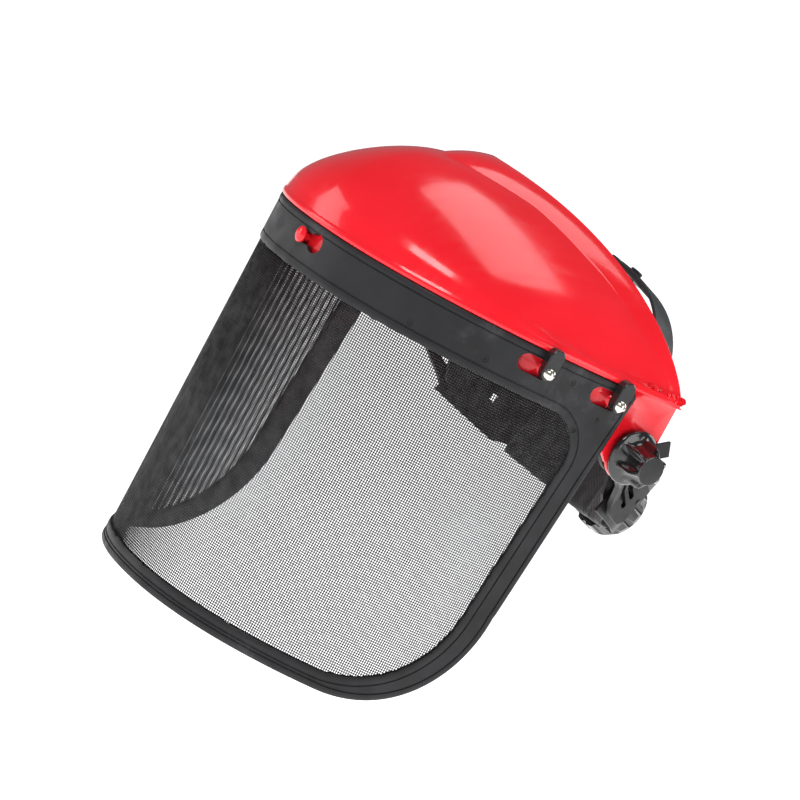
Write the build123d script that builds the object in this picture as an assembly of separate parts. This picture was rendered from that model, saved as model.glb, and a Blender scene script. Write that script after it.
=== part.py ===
"""Brush-cutter face shield: red browguard, steel mesh visor and ratchet head harness.

Millimetres. +Z is up, the wearer looks along -Y and the wearer's left is +X.
The origin is the middle of the tilt axis, halfway between the two pivot bolts.
Everything on the left is made once and mirrored to the right.
"""
from build123d import *
import os
from math import cos, degrees, pi, radians, sin

# ---------------------------------------------------------------- driving dimensions
# visor: a straight cylinder over a superellipse, wrapped round the face
PLAN_A = 111.0          # half width of the visor's outer face
PLAN_B = 160.0          # depth of its front curve
PLAN_Y = -5.0           # where the front curve meets the straight sides
PLAN_N = 2.17           # fullness of the curve, 2 is an ellipse
BRIM_Z = 31.5           # top edge of the visor band
VISOR_H = 201.5
VISOR_T = 3.0
REAR_TOP_Y = -17.8      # rear edge of the visor, top and bottom
REAR_LOW_Y = -36.4
CORNER_R = 68.0         # lower rear corners
BAND_H = 25.3           # height of the band over the window
RIM_W = 16.5            # width of the side rims
RIM_LOW = 10.0          # height of the bottom rim
WINDOW_TOP_R = 22.0
WINDOW_LOW_R = 58.0
MESH_T = 0.6
MESH_IN = 1.2           # mesh lies this far inside the outer face
MESH_BITE = 5.0         # and reaches this far into the moulded rim

# browguard
SHELL_T = 2.2
SKIRT_IN = 3.6          # skirt's outer face inside the visor's outer face
SKIRT_LOW = 10.0
LIP_IN = 0.4
LIP_GAP = 0.2
LIP_H = 3.0
DOME_H = 66.5
DOME_TOP_Y = -89.0
DOME_POWER = 1.6        # vertical fullness of the dome from front to back
DOME_SIDE_POWER = 1.9   # and from side to side
DOME_REAR = 95.0        # length of the dome's rear curve before it is cut away
EAR_R = 14.0
EAR_REAR_Y = 13.0

# visor fastenings
LATCH_Y = (-73.2, -29.5)
LATCH_Z = BRIM_Z - 9.3
SLOT_REACH = 15.5       # slot length ahead of the stud centre
SLOT_W = 9.4
STUD_R = 3.7
LEVER_W = 8.0
LEVER_UP = 9.0          # rivet to the centre of the lever's round top
LEVER_T = 5.5
RIVET_R = 1.5
RIVET_HEAD_R = 3.25
RIVET_HEAD_H = 2.2
KEYHOLE_X = 10.9
KEYHOLE_R = 5.2
BUTTON_Z = BRIM_Z - 9.0
BUTTON_R = 4.1

# pivots, from the harness outwards
ARM_IN_X = 98.4
ARM_T = 3.0
BOLT_R = 3.0
FIT = 0.05              # radial clearance of turning fits
GAP = 0.1
KNOB_X = 109.1
KNOB_LEN = 17.4
FLANGE_R = 14.0
KNOB_RIBS = 6

# head harness, drawn level and then tipped front up
HARNESS_TILT = 17.5
HEAD_R = 78.0           # half width and rear radius of the head ring
HEAD_Y = 23.0           # centre of the rear arc
SIDE_Y = -10.0          # where the sides meet the front curve
HEAD_FRONT = 98.0       # depth of the front curve
BAND_T = 2.2
BAND_LOW = -6.0
BAND_TOP = 24.0
BAND_END_Y = 60.0
PAD_T = 5.0
STRAP_LOW = -28.6
STRAP_TOP = 9.0
STRAP_T = 1.5
STRAP_GAP = 0.3
STRAP_START = 10.0      # degrees round the rear arc from the side
STRAP_END = 109.0
STRAP_TRAVEL = 7.6      # degrees each way
GUIDE_ANGLE = 22.0
GUIDE_Z = -10.0
GUIDE_R = 2.0
CROWN_Y = 11.0
CROWN_W = 18.0
CROWN_T = 1.6
CROWN_BASE = 20.0
CROWN_H = 62.0

# ratchet at the nape
CASE_HALF = 24.0        # degrees each side of the middle
CASE_LOW = -27.0
CASE_TOP = 7.0
NARROW_LOW = -20.0
NARROW_TOP = 0.0
PINION_Z = -10.0
PINION_R = 5.0          # pitch radius
PINION_TEETH = 8
TOOTH_UP = 0.9
TOOTH_DOWN = 1.2
TOOTH_TIP_W = 0.9
TOOTH_ROOT_W = 1.7
RATCHET_KNOB_R = 20.0
RATCHET_KNOB_LEN = 14.0

NODES = {}


# ---------------------------------------------------------------- shared helpers
def keep(name, part):
    """Store one node under its name."""
    NODES[name] = part


def group(pieces):
    """Separate solids that share one node."""
    whole = pieces[0]
    for piece in pieces[1:]:
        whole = whole + piece
    return whole


def keep_pair(name, part):
    """Store a left-hand part and its mirror image."""
    keep(name + "_left", part)
    keep(name + "_right", mirror(part, Plane.YZ))


def superellipse(a, b, power, angle):
    """Point of a superellipse quarter curve, angle from -90 to 90 degrees across the front."""
    s, c = sin(angle), cos(angle)
    x = a * abs(s) ** (2 / power) * (1 if s > 0 else -1)
    return x, -b * abs(c) ** (2 / power)


def visor_plan(inset, back=40.0):
    """Area inside the visor's curve, closed straight across at y = back."""
    a, b = PLAN_A - inset, PLAN_B - inset
    steps = 16
    points = [(-a, back), (-a, 15), (-a, 5)]
    for i in range(steps + 1):
        x, y = superellipse(a, b, PLAN_N, pi * (i / steps - 0.5))
        points.append((x, PLAN_Y + y))
    points += [(a, 5), (a, 15), (a, back)]
    return Face(Wire([Spline(*points), Line(points[-1], points[0])]))


def standing(face, low, high):
    """Extrude a level area between two heights."""
    return extrude(Pos(0, 0, low) * face, high - low, dir=(0, 0, 1))


def visor_wall(outer, inner, low, high):
    """Wall that follows the visor's curve between two insets."""
    return standing(visor_plan(outer), low, high) - standing(visor_plan(inner), low - 1, high + 1)


def across(outline):
    """Prism of a side-view (y, z) outline, right through the object along X."""
    return extrude(Plane.YZ * outline, 150, both=True)


def outline(*points):
    return make_face(Polyline(*points, close=True).edges())


def rounded(face, corners):
    """Round chosen corners of a flat outline: a list of (y, z, radius)."""
    for y, z, radius in corners:
        corner = min(face.vertices(), key=lambda v: (v.X - y) ** 2 + (v.Y - z) ** 2)
        face = fillet(corner, radius)
    return face


def side_plane(y):
    """Plane on the visor's left outer face at y: Z points out, X up, Y rearwards."""
    reach = (PLAN_Y - y) / PLAN_B
    x = PLAN_A * (1 - reach ** PLAN_N) ** (1 / PLAN_N)
    nx = (x / PLAN_A) ** (PLAN_N - 1) / PLAN_A
    ny = -(reach ** (PLAN_N - 1)) / PLAN_B
    return Plane(origin=(x, y, LATCH_Z), x_dir=(0, 0, 1), z_dir=(nx, ny, 0))


def rod(radius, start, end):
    """Cylinder along Z from start to end."""
    return Pos(0, 0, start) * extrude(Circle(radius), end - start)


def along_x(part):
    """Lay a part that was made along Z along +X."""
    return Plane(origin=(0, 0, 0), x_dir=(0, 1, 0), z_dir=(1, 0, 0)) * part


# ---------------------------------------------------------------- visor
def rear_edge_y(z):
    share = (BRIM_Z - z) / VISOR_H
    return REAR_TOP_Y + (REAR_LOW_Y - REAR_TOP_Y) * share


def visor_outline():
    low = BRIM_Z - VISOR_H
    face = outline((REAR_TOP_Y, BRIM_Z), (REAR_LOW_Y, low), (-200, low), (-200, BRIM_Z))
    return rounded(face, [(REAR_LOW_Y, low, CORNER_R), (REAR_TOP_Y, BRIM_Z, 3)])


def window_outline(grow):
    """Mesh window, grown outwards by a margin."""
    low = BRIM_Z - VISOR_H + RIM_LOW - grow
    top = BRIM_Z - BAND_H + grow
    shift = -RIM_W + grow
    face = outline((rear_edge_y(top) + shift, top), (rear_edge_y(low) + shift, low),
                   (-210, low), (-210, top))
    return rounded(face, [(rear_edge_y(low) + shift, low, WINDOW_LOW_R + grow),
                          (rear_edge_y(top) + shift, top, WINDOW_TOP_R + grow)])


def make_visor():
    low = BRIM_Z - VISOR_H
    frame = visor_wall(0, VISOR_T, low, BRIM_Z) & across(visor_outline())
    frame -= across(window_outline(0))
    mesh = visor_wall(MESH_IN, MESH_IN + MESH_T, low, BRIM_Z)
    mesh &= across(window_outline(MESH_BITE))
    frame -= mesh
    for y in LATCH_Y:
        place = side_plane(y)
        reach = SLOT_REACH - SLOT_W / 2
        slot = Pos(0, reach / 2) * Rot(0, 0, 90) * SlotCenterToCenter(reach, SLOT_W)
        cut = place * Pos(0, 0, -8) * extrude(slot, 16)
        frame -= cut
        frame -= mirror(cut, Plane.YZ)
    # keyhole at the front: a round hole beside the button, joined by a narrower way
    facing = Plane(origin=(0, -PLAN_B, BUTTON_Z), x_dir=(1, 0, 0), z_dir=(0, -1, 0))
    hole = Pos(KEYHOLE_X, 0) * Circle(KEYHOLE_R)
    way = Pos(KEYHOLE_X / 2, 0) * SlotCenterToCenter(KEYHOLE_X, 2 * KEYHOLE_R - 4)
    frame -= facing * Pos(0, 0, -15) * extrude(hole + way, 30)
    keep("visor_frame", frame)
    keep("visor_mesh", mesh)


# ---------------------------------------------------------------- browguard
def dome_section(height_share, inset):
    """Level section of the dome: the lip's curve shrunk towards the crown."""
    share = (1 - height_share ** DOME_POWER) ** (1 / DOME_POWER)
    side_share = (1 - height_share ** DOME_SIDE_POWER) ** (1 / DOME_SIDE_POWER)
    steps = 12
    points = []
    for i in range(2 * steps):
        angle = pi * (i / steps - 0.5)
        if i <= steps:
            x, y = superellipse(PLAN_A - inset, PLAN_B - inset, PLAN_N, angle)
        else:
            x = (PLAN_A - inset) * sin(angle)
            y = -(DOME_REAR - inset) * cos(angle)
        points.append((x * side_share, DOME_TOP_Y + (PLAN_Y + y - DOME_TOP_Y) * share))
    return Face(Wire(Spline(*points, periodic=True)))


def dome_solid(inset):
    """Solid dome over the lip, drawn in by a wall thickness."""
    height = DOME_H - inset
    base = BRIM_Z + LIP_GAP
    sections = []
    for share in (0, 0.2, 0.4, 0.6, 0.76, 0.88, 0.96):
        sections.append(Pos(0, 0, base + height * share) * dome_section(share, inset))
    return loft([*sections, Vertex(0, DOME_TOP_Y, base + height)])


def rear_cut():
    """Side view of all that lies ahead of the browguard's slanting rear edge."""
    base = BRIM_Z + LIP_GAP
    edge = Spline((EAR_REAR_Y, base - 1), (10, base + 12), (-4, base + 32), (-26, base + 50),
                  (-52, base + DOME_H + 4))
    sides = Polyline(edge @ 1, (-220, base + DOME_H + 4), (-220, base - 1), edge @ 0)
    return make_face([edge, *sides.edges()])


def skirt_outline():
    """Side view of the skirt: it hangs behind the visor band and drops to the pivots."""
    base = BRIM_Z + LIP_GAP
    panel = outline((EAR_REAR_Y, base + LIP_H), (EAR_REAR_Y, 4), (EAR_R * 0.6, -4),
                    (-EAR_R * 0.9, -8), (-34, SKIRT_LOW), (-200, SKIRT_LOW),
                    (-200, base + LIP_H))
    return panel + Circle(EAR_R)


def make_browguard():
    base = BRIM_Z + LIP_GAP
    shell = dome_solid(LIP_IN) - dome_solid(LIP_IN + SHELL_T)
    shell &= across(rear_cut())
    lip = visor_wall(LIP_IN, SKIRT_IN + SHELL_T, base, base + LIP_H)
    lip &= across(rear_cut())
    skirt = visor_wall(SKIRT_IN, SKIRT_IN + SHELL_T, -EAR_R - 1, base + LIP_H)
    skirt &= across(skirt_outline())
    shell = shell + lip + skirt
    bolt_hole = along_x(rod(BOLT_R + FIT, -150, 150))
    shell -= bolt_hole
    for y in LATCH_Y:
        place = side_plane(y)
        stud = place * rod(STUD_R, -SKIRT_IN - SHELL_T / 2, 0.4)
        shell += stud
        shell += mirror(stud, Plane.YZ)
        hole = place * rod(RIVET_R + 0.02, -9, 2)
        shell -= hole
        shell -= mirror(hole, Plane.YZ)
    facing = Plane(origin=(0, PLAN_Y - PLAN_B, BUTTON_Z), x_dir=(1, 0, 0), z_dir=(0, -1, 0))
    button = rod(2.6, -SKIRT_IN - 1, 1.2) + rod(BUTTON_R, 0.6, 1.8)
    button += Pos(0, 0, 1.8) * loft([Circle(BUTTON_R).face(), Pos(0, 0, 1.2) * Circle(2.4).face()])
    shell += facing * button
    keep("browguard_shell", shell)


def make_latches():
    """Four turn levers on their studs, each held by a domed rivet."""
    rivets = []
    for name, y in zip(("front", "rear"), LATCH_Y):
        place = side_plane(y)
        base = 0.5
        body = Pos(LEVER_UP / 2, 0) * SlotCenterToCenter(LEVER_UP, LEVER_W)
        lever = Pos(0, 0, base) * extrude(body, LEVER_T)
        lever = chamfer(lever.faces().sort_by(Axis.Z)[-1].edges(), 0.6)
        lever -= rod(RIVET_R + FIT, -1, 9)
        keep_pair("latch_lever_" + name, place * lever)
        top = base + LEVER_T + 0.05
        ball_r = (RIVET_HEAD_R ** 2 + RIVET_HEAD_H ** 2) / (2 * RIVET_HEAD_H)
        ball = Pos(0, 0, top + RIVET_HEAD_H - ball_r) * Sphere(ball_r)
        rivet = ball & rod(RIVET_HEAD_R, top, top + RIVET_HEAD_H)
        rivet += rod(RIVET_R, -SKIRT_IN - SHELL_T - 0.3, top)
        rivet += rod(2.6, -SKIRT_IN - SHELL_T - 1.2, -SKIRT_IN - SHELL_T - 0.3)
        rivets.append(place * rivet)
        rivets.append(mirror(place * rivet, Plane.YZ))
    keep("latch_rivets", group(rivets))


# ---------------------------------------------------------------- pivots
def make_pivots():
    arm_out = ARM_IN_X + ARM_T
    ear_in = PLAN_A - SKIRT_IN - SHELL_T
    ear_out = PLAN_A - SKIRT_IN
    bolt = rod(7.5, ARM_IN_X - 2.2, ARM_IN_X) + rod(BOLT_R, ARM_IN_X, KNOB_X + 12)
    bolt = chamfer(bolt.edges().group_by(Axis.Z)[-1], 0.6)
    keep_pair("pivot_bolt", along_x(bolt))
    washer = rod(12, arm_out + GAP, ear_in - GAP) - rod(BOLT_R + 0.1, 90, 110)
    keep_pair("friction_washer", along_x(washer))
    tab = Rot(0, 0, 27) * Pos(16.5, 0) * Rectangle(15, 8.4)
    plate = Circle(13.2) + tab - Circle(BOLT_R + 0.1)
    tab_washer = Pos(0, 0, ear_out + 0.15) * extrude(plate, KNOB_X - ear_out - 0.35)
    keep_pair("tab_washer", along_x(tab_washer))
    # knob: flange, bell-shaped hub, six ribs and a flat end
    profile = [(0, 0), (FLANGE_R, 0), (FLANGE_R, 1.6), (FLANGE_R - 0.8, 2.4), (11.4, 2.9),
               (10.2, 8), (8.8, 14.5), (8.1, KNOB_LEN - 0.6), (7.5, KNOB_LEN), (0, KNOB_LEN)]
    hub = revolve(Plane.XZ * make_face(Polyline(*profile, close=True).edges()), Axis.Z)
    for i in range(KNOB_RIBS):
        side = make_face(Polyline((6, 2), (12.6, 2), (12.4, 9), (11.2, 14.6), (6, 14.6),
                                  close=True).edges())
        rib = extrude(Plane.XZ * side, 1.3, both=True)
        hub += Rot(0, 0, 360 / KNOB_RIBS * i + 15) * rib
    pocket = extrude(RegularPolygon(5.6, 6), 13)
    hub -= pocket
    insert = extrude(RegularPolygon(5.55, 6), 12.5) - rod(BOLT_R + FIT, -1, 14)
    keep_pair("pivot_knob", along_x(Pos(0, 0, KNOB_X) * hub))
    keep_pair("knob_insert", along_x(Pos(0, 0, KNOB_X) * insert))


# ---------------------------------------------------------------- head harness
TIP = Rot(-HARNESS_TILT, 0, 0)


def ring_plan(grow):
    """Area inside the head ring: round behind, straight sides, long round front."""
    r = HEAD_R + grow
    rear = CenterArc((0, HEAD_Y), r, 0, 180)
    front = EllipticalCenterArc((0, SIDE_Y), r, HEAD_FRONT + grow, start_angle=180,
                                arc_size=180)
    right = Line((-r, HEAD_Y), (-r, SIDE_Y))
    left = Line((r, SIDE_Y), (r, HEAD_Y))
    return Face(Wire([rear, right, front, left]))


def ring_wall(outer, inner, low, high):
    return standing(ring_plan(outer), low, high) - standing(ring_plan(inner), low - 1, high + 1)


def rear_wall(inner, outer, start, end, low, high):
    """Piece of a cylinder round the rear arc's centre; radii are beyond the head ring."""
    r0, r1 = HEAD_R + inner, HEAD_R + outer
    a0, a1 = radians(start), radians(end)
    near = CenterArc((0, HEAD_Y), r0, start, end - start)
    far = CenterArc((0, HEAD_Y), r1, start, end - start)
    first = Line((r0 * cos(a0), HEAD_Y + r0 * sin(a0)), (r1 * cos(a0), HEAD_Y + r1 * sin(a0)))
    last = Line((r0 * cos(a1), HEAD_Y + r0 * sin(a1)), (r1 * cos(a1), HEAD_Y + r1 * sin(a1)))
    return standing(Face(Wire([near, last, far, first])), low, high)


def radial(angle, z):
    """Plane at the rear arc's centre, Z pointing out along the angle at height z."""
    a = radians(angle)
    return Plane(origin=(0, HEAD_Y, z), x_dir=(0, 0, 1), z_dir=(cos(a), sin(a), 0))


def band_outline():
    face = outline((-120, BAND_TOP), (12, BAND_TOP), (30, 10), (BAND_END_Y, 4),
                   (BAND_END_Y, -25), (42, -25), (34, -20), (24, BAND_LOW), (-120, BAND_LOW))
    return rounded(face, [(BAND_END_Y, 4, 6), (BAND_END_Y, -25, 4), (12, BAND_TOP, 8)])


def crown_curve(drop, start, end):
    """Arch of the crown strap in the (x, z) plane, between two angles from the left."""
    a, h = HEAD_R - BAND_T - 0.3 - drop, CROWN_H - drop
    steps = 14
    points = []
    for i in range(steps + 1):
        angle = radians(start + (end - start) * i / steps)
        c, s = cos(angle), sin(angle)
        x = a * abs(c) ** 0.92 * (1 if c > 0 else -1)
        points.append((x, CROWN_BASE + h * abs(s) ** 0.92))
    return Spline(*points)


def crown_band(drop, start, end):
    """One half of the crown strap: an arched strip of even thickness."""
    outer = crown_curve(drop, start, end)
    inner = crown_curve(drop + CROWN_T, start, end)
    ends = [Line(outer @ 0, inner @ 0), Line(outer @ 1, inner @ 1)]
    area = Face(Wire([outer, inner, *ends]))
    plane = Plane(origin=(0, CROWN_Y + CROWN_W / 2, 0), x_dir=(1, 0, 0), z_dir=(0, -1, 0))
    return extrude(plane * area, CROWN_W)


def make_head_band():
    band = ring_wall(0, -BAND_T, -40, 40) & across(band_outline())
    for side in (GUIDE_ANGLE, 180 - GUIDE_ANGLE):
        band -= radial(side, GUIDE_Z) * rod(GUIDE_R, 60, 90)
    stud_hole = along_x(rod(2.5, -90, 90))
    band -= Pos(0, CROWN_Y, 13) * stud_hole
    keep("head_band", TIP * band)
    pad = ring_wall(-BAND_T - 0.3, -BAND_T - 0.3 - PAD_T, BAND_LOW + 0.5, BAND_TOP - 0.5)
    pad &= across(outline((-120, 40), (-2, 40), (-2, -40), (-120, -40)))
    keep("sweatband", TIP * pad)


def make_crown():
    left_foot_x = HEAD_R - BAND_T - 0.3
    tab = Pos(left_foot_x - CROWN_T / 2, CROWN_Y, CROWN_BASE - 7)
    tab = tab * Box(CROWN_T, CROWN_W, 14)
    hole = Pos(0, CROWN_Y, 13) * along_x(rod(2.5, 60, 90))
    left = crown_band(0, 0, 112) + tab - hole
    drop = CROWN_T + 0.2
    foot = Pos(-left_foot_x + drop + CROWN_T / 2, CROWN_Y, CROWN_BASE - 7)
    foot = foot * Box(CROWN_T, CROWN_W, 14)
    right = crown_band(drop, 68, 180) + foot - mirror(hole, Plane.YZ)
    # a pair of adjusting pegs through both halves at the top
    pegs = []
    top = CROWN_BASE + CROWN_H
    for x in (-9.0, 9.0):
        peg = Pos(x, CROWN_Y, 0) * rod(2.0, top - 5, top - 0.2)
        button = Pos(x, CROWN_Y, 0) * rod(3.6, top + 0.2, top + 1.6)
        neck = Pos(x, CROWN_Y, 0) * rod(2.0, top - 0.3, top + 0.3)
        pegs.append(peg + neck + button)
    for peg in pegs:
        left -= peg
        right -= peg
    keep("crown_strap_left", TIP * left)
    keep("crown_strap_right", TIP * right)
    keep("crown_pegs", TIP * group(pegs))
    inner_x = {1: left_foot_x - CROWN_T, -1: left_foot_x - drop - CROWN_T}
    studs = []
    for side, inner in inner_x.items():
        stud = rod(2.5, inner - 0.1, HEAD_R + 0.1) + rod(4.6, HEAD_R + 0.1, HEAD_R + 1.6)
        stud += rod(4.2, inner - 1.3, inner - 0.1)
        stud = Pos(0, CROWN_Y, 13) * along_x(stud)
        studs.append(stud if side == 1 else mirror(stud, Plane.YZ))
    keep("crown_studs", TIP * group(studs))


def make_arms():
    """Bridge from the head band out to the pivot, with a slotted tongue behind it."""
    path = Polyline((79.8, -48), (79.8, -36), (ARM_IN_X + 1.5, -15), (ARM_IN_X + 1.5, 13),
                    (83.6, 36), (77.8, 56))
    bridge = standing(trace(path, ARM_T).face(), -40, 40)
    tongue = outline((4, 12.4), (57, -2), (57, -22), (53, -26), (42, -26), (34, -21),
                     (22, -14), (4, -12.6))
    foot = outline((4, 12.4), (-50, 16), (-50, 0), (4, -12.6))
    side = tongue + foot + Circle(13.0)
    arm = bridge & across(side)
    for offset in (-3.1, 3.1):
        slot = Pos(33, -9 + offset) * Rot(0, 0, -21) * SlotOverall(30, 3.2)
        arm -= across(slot)
    arm -= along_x(rod(BOLT_R + 0.02, 90, 110))
    arm -= radial(GUIDE_ANGLE, GUIDE_Z) * rod(GUIDE_R, 60, 95)
    arm = TIP * arm
    # the pivot faces stay square to the tilt axis because the tip is about that axis
    keep_pair("pivot_arm", arm)
    guide = rod(GUIDE_R, HEAD_R - BAND_T - 0.9, HEAD_R + 8)
    guide += rod(GUIDE_R + 1.6, HEAD_R - BAND_T - 1.9, HEAD_R - BAND_T - 0.2)
    keep_pair("guide_stud", TIP * (radial(GUIDE_ANGLE, GUIDE_Z) * guide))


# ---------------------------------------------------------------- rear straps and ratchet
def rack_tooth(radius, angle, teeth_down):
    """One rack tooth standing into the strap's slot."""
    base = PINION_R + TOOTH_DOWN + 0.3
    tip = PINION_R - TOOTH_UP + 0.1
    shape = outline((base + 0.6, -TOOTH_ROOT_W / 2), (base + 0.6, TOOTH_ROOT_W / 2),
                    (tip, TOOTH_TIP_W / 2), (tip, -TOOTH_TIP_W / 2))
    tooth = extrude(shape, STRAP_T)
    place = radial(angle, PINION_Z)
    if not teeth_down:
        tooth = Rot(0, 0, 180) * tooth
    return place * Pos(0, 0, radius) * tooth


def rear_strap(layer, teeth_down):
    """Left strap drawn on its own layer; teeth on the slot's upper or lower side."""
    inner = STRAP_GAP + layer * (STRAP_T + STRAP_GAP)
    outer = inner + STRAP_T
    strap = rear_wall(inner, outer, STRAP_START, STRAP_END, STRAP_LOW, STRAP_TOP)
    for high, low in ((STRAP_TOP + 1, NARROW_TOP), (STRAP_LOW - 1, NARROW_LOW)):
        strap -= across(outline((74, high), (89, low), (120, low), (120, high)))
    travel = STRAP_TRAVEL + 1.0
    near = GUIDE_ANGLE - travel - 1.6
    far = GUIDE_ANGLE + travel + 1.6
    half = GUIDE_R + 0.2
    strap -= rear_wall(inner - 1, outer + 1, near, far, GUIDE_Z - half, GUIDE_Z + half)
    clear = PINION_R + TOOTH_UP + 0.6
    root = PINION_R + TOOTH_DOWN + 0.3
    low, high = (-clear, root) if teeth_down else (-root, clear)
    ends = STRAP_TRAVEL + 6
    strap -= rear_wall(inner - 1, outer + 1, 90 - ends, 90 + ends,
                       PINION_Z + low, PINION_Z + high)
    mean = HEAD_R + (inner + outer) / 2
    pitch = degrees(2 * pi * PINION_R / PINION_TEETH / mean)
    count = int(ends / pitch - 0.3)
    for i in range(count):
        for side in (-1, 1):
            angle = 90 + side * (i + 0.5) * pitch
            strap += rack_tooth(HEAD_R + inner, angle, teeth_down)
    return strap


def make_rear_straps():
    keep("rear_strap_left", TIP * rear_strap(0, True))
    keep("rear_strap_right", TIP * mirror(rear_strap(1, False), Plane.YZ))


def make_ratchet():
    start, end = 90 - CASE_HALF, 90 + CASE_HALF
    strap_out = 2 * (STRAP_GAP + STRAP_T)
    wall = strap_out + STRAP_GAP
    case = rear_wall(wall, wall + 2.5, start, end, CASE_LOW, CASE_TOP)
    case += rear_wall(0.1, wall + 2.5, start, end, NARROW_TOP + 1, CASE_TOP)
    case += rear_wall(0.1, wall + 2.5, start, end, CASE_LOW, NARROW_LOW - 1)
    plate = rear_wall(-1.8, 0.05, start, end, CASE_LOW, CASE_TOP)
    nape = radial(90, PINION_Z)
    face = HEAD_R + wall + 2.5
    case += nape * rod(13, face - 2.5, face + 1.6)
    case += nape * (rod(16.4, face - 1.5, face + 5.5) - rod(14.0, face - 3, face + 6))
    case -= nape * rod(BOLT_R + FIT, 60, 100)
    plate -= nape * rod(1.56, 60, 90)
    screws = []
    for angle in (start + 5, end - 5):
        for z in (4.0, -24.0):
            place = radial(angle, z)
            screw = rod(1.2, HEAD_R - 1.7, HEAD_R + wall + 1.5)
            screw += rod(2.2, HEAD_R - 3.0, HEAD_R - 1.7)
            screws.append(place * screw)
    for screw in screws:
        case -= screw
        plate -= screw
    gear_in, gear_out = HEAD_R + 0.15, HEAD_R + strap_out - 0.05
    pinion = rod(PINION_R - TOOTH_DOWN, gear_in, gear_out)
    for i in range(PINION_TEETH):
        tooth = outline((2, -TOOTH_ROOT_W / 2 - 0.2), (PINION_R + TOOTH_UP, -TOOTH_TIP_W / 2),
                        (PINION_R + TOOTH_UP, TOOTH_TIP_W / 2), (2, TOOTH_ROOT_W / 2 + 0.2))
        tooth = Pos(0, 0, gear_in) * extrude(tooth, gear_out - gear_in)
        pinion += Rot(0, 0, 360 / PINION_TEETH * i) * tooth
    pinion += rod(BOLT_R, gear_out, face + 12)
    pinion += rod(1.5, HEAD_R - 1.6, HEAD_R + 0.3)
    keep("ratchet_pinion", TIP * (nape * pinion))
    # detent: a star wheel on the shaft and a leaf spring in the case
    star = rod(10.4, face + 2.0, face + 4.6)
    for i in range(16):
        star += Rot(0, 0, 22.5 * i) * Pos(10.4, 0) * rod(1.0, face + 2.0, face + 4.6)
    star -= rod(BOLT_R, 60, 120)
    keep("detent_wheel", TIP * (nape * star))
    spring = Pos(12.4, 0) * Rectangle(0.7, 10)
    spring = Pos(0, 0, face + 2.2) * extrude(spring, 2.2)
    keep("detent_spring", TIP * (nape * spring))
    base = face + 6.2
    knob = rod(RATCHET_KNOB_R, base, base + RATCHET_KNOB_LEN - 5)
    knob += Pos(0, 0, base + RATCHET_KNOB_LEN - 5) * extrude(Circle(RATCHET_KNOB_R), 3, taper=25)
    for i in range(14):
        flute = Pos(RATCHET_KNOB_R + 1.6, 0) * Circle(2.8)
        knob -= Rot(0, 0, 360 / 14 * i) * Pos(0, 0, base - 1) * extrude(flute, 20)
    knob -= rod(BOLT_R, 60, 200)
    knob -= rod(4.6, face + 12, base + 20)
    keep("ratchet_knob", TIP * (nape * knob))
    head = rod(4.2, face + 12, face + 13.5)
    slot = Pos(0, 0, face + 13.0) * extrude(Rectangle(9, 1.2), 2)
    keep("ratchet_screw", TIP * (nape * (head - slot)))
    keep("ratchet_case", TIP * case)
    keep("ratchet_back_plate", TIP * plate)
    keep("ratchet_case_screws", TIP * group(screws))
    pad = rear_wall(-7.2, -2.0, 48, 132, STRAP_LOW, STRAP_TOP)
    for screw in screws:
        pad -= screw
    keep("nape_pad", TIP * pad)


make_visor()
make_browguard()
make_latches()
make_pivots()
make_head_band()
make_crown()
make_arms()
make_rear_straps()
make_ratchet()

os.makedirs("parts", exist_ok=True)
for node_name, node_part in NODES.items():
    export_step(node_part, "parts/" + node_name + ".step")
print(len(NODES), "nodes")
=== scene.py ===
"""Looks of the brush-cutter face shield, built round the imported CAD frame.

Lengths in this script are millimetres until mesh_piece() turns them into metres.
The wearer looks along -Y, +Z is up and the wearer's left is +X.
"""
import math

import bmesh
import bpy
import numpy as np
from mathutils import Matrix, Vector


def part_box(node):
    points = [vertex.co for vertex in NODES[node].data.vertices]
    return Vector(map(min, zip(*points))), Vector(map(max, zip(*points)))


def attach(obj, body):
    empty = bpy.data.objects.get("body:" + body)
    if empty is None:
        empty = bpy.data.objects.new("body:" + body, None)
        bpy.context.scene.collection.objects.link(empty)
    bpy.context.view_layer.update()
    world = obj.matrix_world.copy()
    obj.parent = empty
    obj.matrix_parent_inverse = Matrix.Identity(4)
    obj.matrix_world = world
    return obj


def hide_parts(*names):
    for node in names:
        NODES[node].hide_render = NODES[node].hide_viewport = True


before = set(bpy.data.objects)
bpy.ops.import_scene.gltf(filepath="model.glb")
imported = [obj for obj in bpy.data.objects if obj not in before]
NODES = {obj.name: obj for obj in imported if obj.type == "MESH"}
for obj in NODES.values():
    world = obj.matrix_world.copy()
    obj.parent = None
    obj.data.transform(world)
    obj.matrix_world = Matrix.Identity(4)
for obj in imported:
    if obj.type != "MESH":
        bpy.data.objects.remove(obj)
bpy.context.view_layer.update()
MM = 0.001

# ---------------------------------------------------------------- driving dimensions
PLAN_A, PLAN_B, PLAN_Y, PLAN_N = 111.0, 160.0, -5.0, 2.17   # visor's curve, as in the CAD
BRIM_Z = 31.5
VISOR_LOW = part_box("visor_frame")[0].z / MM
VISOR_H = BRIM_Z - VISOR_LOW
REAR_TOP_Y, REAR_LOW_Y = -17.8, -36.4
CORNER_R = 68.0
BAND_H, RIM_W, RIM_LOW = 25.3, 16.5, 10.0
WINDOW_TOP_R, WINDOW_LOW_R = 22.0, 58.0
LATCH_Y = (-73.2, -29.5)
LATCH_Z = BRIM_Z - 9.3
SLOT_REACH, SLOT_W = 15.5, 9.4
KEYHOLE_X, KEYHOLE_R = 10.9, 5.2
BUTTON_Z = BRIM_Z - 9.0

WIRE_PITCH = 1.25
WIRE_R = 0.27
WIRE_DEPTH = 1.5        # mesh lies this far inside the visor's outer face
WIRE_BITE = 2.0         # wires run this far into the moulded rim

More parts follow.
